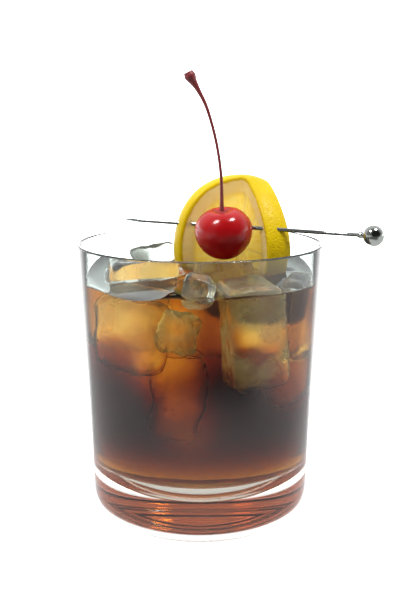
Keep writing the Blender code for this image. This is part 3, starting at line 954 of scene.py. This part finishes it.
def cherry_material():
    made, tree = new_material("maraschino_cherry_skin")
    solid = add(tree, "TexCoord").outputs["Object"]
    cloud = add(tree, "TexNoise", inputs={
        "Vector": solid, "Scale": cells_of(DYE_CLOUD), "Detail": 4.0}).outputs[0]
    colour = add(tree, "Mix", {"data_type": 'RGBA'}, {
        0: cloud, 6: linear("#9C0B12"), 7: linear("#B4161A")}).outputs[2]
    fine = add(tree, "TexNoise", inputs={
        "Vector": solid, "Scale": cells_of(SKIN_GRAIN), "Detail": 2.0}).outputs[0]
    bump = add(tree, "Bump", inputs={"Height": fine, "Strength": 0.06, "Distance": 0.2 * MM}).outputs[0]
    shader = add(tree, "BsdfPrincipled", inputs={
        "Base Color": colour, "Roughness": 0.25, "Subsurface Weight": 0.5, "Subsurface Scale": 5 * MM,
        "Subsurface Radius": (1.0, 0.12, 0.05), "Specular IOR Level": 0.12,
        "Coat Weight": 0.4, "Coat Roughness": 0.03, "Normal": bump})
    finish_material(tree, shader)
    return made


finish_piece(cherry, ["cherry"], [cherry_material()])

# %% [markdown]
# ## Stem
# The stem is a thin stalk that flares where it grew on the tree. A tube of changing radius follows a smooth
# line through a few points. A curve with a taper would also do, but in a tube each ring's radius can be
# set.

# %% Stem line
# Height, reach to the right, depth to the back and radius of the stalk in millimetres, from the dimple up
STEM_HEIGHTS = (110.7, 112.6, 116.2, 122.5, 130.5, 138.5, 146.5, 151.5, 154.4, 156.4, 158.0)
STEM_REACH = (7.6, 7.55, 7.5, 7.3, 6.3, 4.6, 2.1, -0.4, -2.1, -3.3, -4.1)
STEM_DEPTH = (-1.7, -1.7, -1.5, -1.1, -0.5, -0.3, -0.2, -0.1, 0.0, 0.0, 0.0)
STEM_RADII = (0.85, 0.72, 0.6, 0.55, 0.53, 0.55, 0.62, 0.8, 1.3, 2.0, 1.6)
STEM_RINGS = 140


def smooth_row(keys, places):
    """Values of a smooth line (Catmull-Rom) through evenly spaced keys."""
    padded = [2 * keys[0] - keys[1], *keys, 2 * keys[-1] - keys[-2]]
    row = []
    for place in places:
        span = min(int(place), len(keys) - 2)
        share = place - span
        a, b, c, d = padded[span:span + 4]
        row.append(0.5 * (2 * b + (c - a) * share + (2 * a - 5 * b + 4 * c - d) * share ** 2
                          + (3 * b - a - 3 * c + d) * share ** 3))
    return row


stem_places = np.linspace(0, len(STEM_HEIGHTS) - 1, STEM_RINGS)
stem_rows = [smooth_row(keys, stem_places) for keys in (STEM_REACH, STEM_DEPTH, STEM_HEIGHTS, STEM_RADII)]
stem_points = [Vector(row) * MM for row in zip(*stem_rows[:3])]
print("the stem rises", (stem_points[-1] - stem_points[0]).z / MM, "mm")

# %% Stem shape
STEM_SIDES = 24


def tube(name, points, radii, sides):
    """A closed tube of changing radius along a line of points."""
    verts = [points[0]]
    for index, point in enumerate(points):
        along = (points[min(index + 1, len(points) - 1)] - points[max(index - 1, 0)]).normalized()
        across = Vector((0, 1, 0)).cross(along).normalized()
        behind = along.cross(across)
        for side in range(sides):
            turn = 2 * math.pi * side / sides
            verts.append(point + (across * math.cos(turn) + behind * math.sin(turn)) * radii[index])
    verts.append(points[-1])
    faces = []
    for side in range(sides):
        after = (side + 1) % sides
        faces.append((0, 1 + after, 1 + side))
        for ring in range(len(points) - 1):
            low = 1 + ring * sides
            faces.append((low + side, low + after, low + sides + after, low + sides + side))
        top = 1 + (len(points) - 1) * sides
        faces.append((top + side, top + after, len(verts) - 1))
    return mesh_object(name, verts, faces)


stem = tube("cherry_stem_stalk", stem_points, [radius * MM for radius in stem_rows[3]], STEM_SIDES)
print("the knob is", 2 * max(STEM_RADII), "mm wide")

# %% [markdown]
# ### Dyed stalk
# The stalk is woody and has taken up the cherry's dye unevenly, so it goes from dark to reddish brown in
# fine streaks. It is satin, not glossy, and its streaks are also a slight relief that breaks up the
# highlight.

# %% Stem material
STREAK_SIZE = 1.43


def stem_material():
    made, tree = new_material("dyed_cherry_stalk")
    solid = add(tree, "TexCoord").outputs["Object"]
    streaks = add(tree, "TexNoise", inputs={
        "Vector": solid, "Scale": cells_of(STREAK_SIZE), "Detail": 4.0}).outputs[0]
    colour = add(tree, "Mix", {"data_type": 'RGBA'}, {
        0: streaks, 6: linear("#5A141A"), 7: linear("#96383A")}).outputs[2]
    bump = add(tree, "Bump", inputs={"Height": streaks, "Strength": 0.4, "Distance": 0.3 * MM}).outputs[0]
    shader = add(tree, "BsdfPrincipled", inputs={
        "Base Color": colour, "Roughness": 0.42, "Subsurface Weight": 0.1, "Subsurface Scale": 1 * MM,
        "Normal": bump})
    finish_material(tree, shader)
    return made


finish_piece(stem, ["cherry_stem"], [stem_material()])

# %% [markdown]
# ## Pick
# The cocktail pick is a ground pin with a sharp point, a short collar and a ball on its end. It is turned
# along Z and then laid along the line from its tip to its ball.

# %% Pick shape
PICK_TIP = Vector((-27.5, 14.7, 105.8)) * MM
BALL_CENTRE = Vector((58.9, -11.2, 103.3)) * MM
BALL_RADIUS = 3.7 * MM
PIN_RADIUS = 0.7 * MM
PIN_POINT = 6.0 * MM
COLLAR_RADIUS = 1.15 * MM
COLLAR_LENGTH = 1.4 * MM
PICK_SEGMENTS = 64
BALL_STEPS = 40


def pick_shape():
    along = BALL_CENTRE - PICK_TIP
    length = along.length
    ball_start = math.degrees(math.asin(COLLAR_RADIUS / BALL_RADIUS))
    collar_end = length - BALL_RADIUS * math.cos(math.radians(ball_start))
    collar_foot = collar_end - COLLAR_LENGTH
    profile = [(0.0, 0.0), (0.12 * MM, 0.1 * MM)]
    profile += [(PIN_RADIUS * share ** 0.6, PIN_POINT * share) for share in (0.2, 0.4, 0.6, 0.8, 1.0)]
    profile += [(PIN_RADIUS, height) for height in np.linspace(PIN_POINT * 2, collar_foot - 0.5 * MM, 6)]
    profile += [(COLLAR_RADIUS * 0.92, collar_foot), (COLLAR_RADIUS, collar_foot + 0.2 * MM)]
    profile += [(COLLAR_RADIUS, collar_end - 0.1 * MM)]
    profile += arc((0.0, length), BALL_RADIUS, -90 + ball_start, 90, BALL_STEPS)
    made = lathe("pick_steel", profile, PICK_SEGMENTS)
    made.data.transform(Matrix.Translation(PICK_TIP) @ along.to_track_quat('Z', 'Y').to_matrix().to_4x4())
    return made


pick = pick_shape()
print("the pick is", (BALL_CENTRE - PICK_TIP).length / MM, "mm long to its ball")

# %% [markdown]
# ### Stainless steel
# The pin and the ball are polished stainless steel, a plain mirror of the room: black and white lines on
# the pin, and a small picture of the studio in the ball. Finger marks about 2 mm wide soften it a little,
# and the colour is a shade darker than clean steel, a painted shade that dims what it mirrors.

# %% Steel material
SMEAR_SIZE = 2.0


def steel_material():
    made, tree = new_material("polished_stainless_steel")
    solid = add(tree, "TexCoord").outputs["Object"]
    smear = add(tree, "TexNoise", inputs={
        "Vector": solid, "Scale": cells_of(SMEAR_SIZE), "Detail": 5.0}).outputs[0]
    rough = add(tree, "MapRange", inputs={"Value": smear, "To Min": 0.03, "To Max": 0.12}).outputs[0]
    # The colour is darker than clean steel: a painted shade that dims what the steel mirrors
    shader = add(tree, "BsdfPrincipled", inputs={
        "Base Color": linear("#A0A4A1"), "Metallic": 1.0, "Roughness": rough})
    finish_material(tree, shader)
    return made


finish_piece(pick, ["pick"], [steel_material()])

# %% [markdown]
# ## Table
# The glass stands on a white table that is lit so brightly that it shows as plain white. The drink takes up
# so much light that only a very bright table and backdrop behind it make it glow. So the table glows by
# itself, a little over white beside the glass, three times white behind it, and darker near the camera,
# where the shade is painted into its glow. That painted shade is what the front of the glass mirrors, and it
# keeps the drink's dark colours deep.

# %% Table
TABLE_WHITE = 1.12
TABLE_BEHIND = 3.1
TABLE_PAINTED_SHADE = 0.2
TABLE_HALF_WIDTH = 3.0
TABLE_GAP = 0.2 * MM


def table_material():
    """A glowing white paper whose light depends on the distance to the glass and the bearing from it, with
    painted shade in front of it.
    """
    made, tree = new_material("pale_table")
    solid = add(tree, "TexCoord").outputs["Object"]
    distance = add(tree, "VectorMath", {"operation": 'LENGTH'}, {0: solid}).outputs["Value"]
    # Painted shade: in front of the glass, the glow dims with distance toward the camera
    painted_shade = add(tree, "MapRange", {"interpolation_type": 'SMOOTHSTEP'}, {
        "Value": distance, "From Min": 120 * MM, "From Max": 260 * MM,
        "To Min": TABLE_WHITE, "To Max": TABLE_PAINTED_SHADE}).outputs[0]
    unit = add(tree, "VectorMath", {"operation": 'NORMALIZE'}, {0: solid}).outputs[0]
    backward = add(tree, "SeparateXYZ", inputs={"Vector": unit}).outputs["Y"]
    in_front = add(tree, "MapRange", {"interpolation_type": 'SMOOTHSTEP'}, {
        "Value": backward, "From Min": -0.45, "From Max": -0.85}).outputs[0]
    lit = add(tree, "MapRange", {"interpolation_type": 'SMOOTHSTEP'}, {
        "Value": backward, "From Min": 0.6, "From Max": 0.85,
        "To Min": TABLE_WHITE, "To Max": TABLE_BEHIND}).outputs[0]
    strength = add(tree, "Mix", {"data_type": 'FLOAT'}, {0: in_front, 2: lit, 3: painted_shade}).outputs[0]
    finish_material(tree, add(tree, "Emission", inputs={"Strength": strength}))
    return made


table_mesh = bpy.data.meshes.new("floor")
table_corners = [(side * TABLE_HALF_WIDTH, end * TABLE_HALF_WIDTH, 0)
                 for side, end in ((-1, -1), (1, -1), (1, 1), (-1, 1))]
table_mesh.from_pydata(table_corners, [], [(0, 1, 2, 3)])
table = bpy.data.objects.new("floor", table_mesh)
table.location.z = -TABLE_GAP
table.data.materials.append(table_material())
bpy.context.collection.objects.link(table)
print("table", 2 * TABLE_HALF_WIDTH, "m wide")

# %% [markdown]
# ## Studio walls
# The world stands for the studio. It is white all round, much brighter at the back, where a lit paper
# hangs, and darker overhead. One soft dark patch lies in front, up and to the right, where the room isn't
# lit. Clear glass only shows by what it bends and mirrors, so these bright and dark parts draw its edges
# and the steel's lines.

# %% World
BACKDROP_BRIGHT = 3.4
CEILING_SHARE = 0.34
DARK_SHARE = 0.08
DARK_SIDE = (0.33, -0.86, 0.39)

world = bpy.data.worlds.new("studio")
bpy.context.scene.world = world
world.use_nodes = True
studio = world.node_tree
studio.nodes.clear()
ray = add(studio, "TexCoord").outputs["Generated"]
heading = add(studio, "SeparateXYZ", inputs={"Vector": ray}).outputs
toward_dark = add(studio, "VectorMath", {"operation": 'DOT_PRODUCT'}, {
    0: ray, 1: DARK_SIDE}).outputs["Value"]
dark = add(studio, "MapRange", {"interpolation_type": 'SMOOTHSTEP'}, {
    "Value": toward_dark, "From Min": 0.5, "From Max": 0.82,
    "To Min": 1.0, "To Max": DARK_SHARE}).outputs[0]
backdrop = add(studio, "MapRange", {"interpolation_type": 'SMOOTHSTEP'}, {
    "Value": heading["Y"], "From Min": -0.15, "From Max": 0.45,
    "To Min": 1.0, "To Max": BACKDROP_BRIGHT}).outputs[0]
ceiling = add(studio, "MapRange", {"interpolation_type": 'SMOOTHSTEP'}, {
    "Value": heading["Z"], "From Min": 0.07, "From Max": 0.26,
    "To Min": 1.0, "To Max": CEILING_SHARE}).outputs[0]
level = add(studio, "Math", {"operation": 'MULTIPLY'}, {0: backdrop, 1: ceiling}).outputs[0]
level = add(studio, "Math", {"operation": 'MULTIPLY'}, {0: level, 1: dark}).outputs[0]
light = add(studio, "Background", inputs={"Color": (1, 1, 1, 1), "Strength": level})
add(studio, "OutputWorld", inputs={"Surface": light.outputs[0]})
print("backdrop", BACKDROP_BRIGHT, "times white")

# %% [markdown]
# ## Lamps
# Two round soft lamps hang high in front, left and right. They give the cherry two highlights and light the
# fruit from the camera's side, which the bright backdrop alone would leave dark.

# %% Lamps
LAMPS = {"lamp_left": (-0.256, -0.17, 0.613), "lamp_right": (0.23, -0.09, 0.655)}
LAMP_WIDTH = 0.17
LAMP_WATTS = 2.6
LAMP_AIM = Vector((0, 0, 0.1))

for name, place in LAMPS.items():
    lamp_data = bpy.data.lights.new(name, 'AREA')
    lamp_data.shape = 'DISK'
    lamp_data.size = LAMP_WIDTH
    lamp_data.energy = LAMP_WATTS
    lamp = bpy.data.objects.new(name, lamp_data)
    lamp.location = place
    lamp.rotation_euler = (LAMP_AIM - Vector(place)).to_track_quat('-Z', 'Y').to_euler()
    bpy.context.collection.objects.link(lamp)
    print(name, place)

# %% [markdown]
# ## View and light paths
# The Standard view transform keeps white paper white and yellow zest clean. Light crosses glass, drink and
# ice many times before it leaves them, so the paths may be long: with few bounces, the base would turn
# black.

# %% View and light paths
LIGHT_BOUNCES = 40
scene = bpy.context.scene
scene.view_settings.view_transform = 'Standard'
scene.cycles.max_bounces = LIGHT_BOUNCES
scene.cycles.transmission_bounces = LIGHT_BOUNCES
scene.cycles.transparent_max_bounces = LIGHT_BOUNCES
print("up to", LIGHT_BOUNCES, "bounces")
